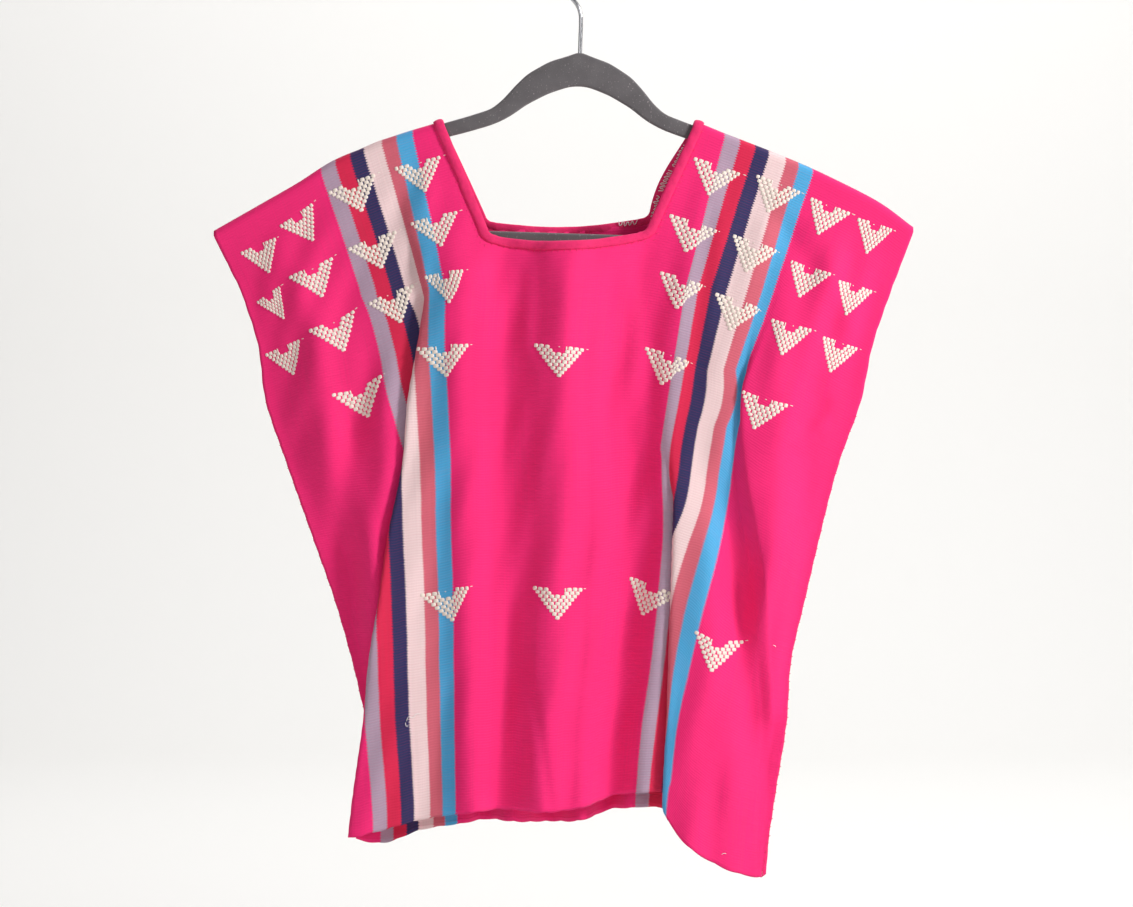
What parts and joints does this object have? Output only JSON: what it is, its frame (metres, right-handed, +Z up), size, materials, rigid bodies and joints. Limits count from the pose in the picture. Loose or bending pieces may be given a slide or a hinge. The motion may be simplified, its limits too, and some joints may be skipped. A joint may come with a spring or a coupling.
{
  "type": "huipil blouse on a hanger",
  "caption": "Boxy hand-woven huipil blouse with a square neck, striped shoulders and side seams, hanging in soft folds on a slim hanger with a wire hook.",
  "frame": {"origin": "inside top of the hanger's hook, where it hangs from a rod", "axes": "+Z up, +X to the viewer's right as seen from the front, the garment's front faces -Y"},
  "size_m": [0.6031, 0.081, 0.7862],
  "materials": {
    "web": "hand-woven cotton, matt with a faint sheen on the threads",
    "binding": "rolled cotton strip, matt",
    "hanger": "flocked, velvety",
    "wire": "bright"
  },
  "bodies": {
    "root": {"front_panel": "web", "back_panel": "web", "neck_binding": "binding", "hanger_body": "hanger", "hanger_hook": "wire"}
  },
  "joints": []
}
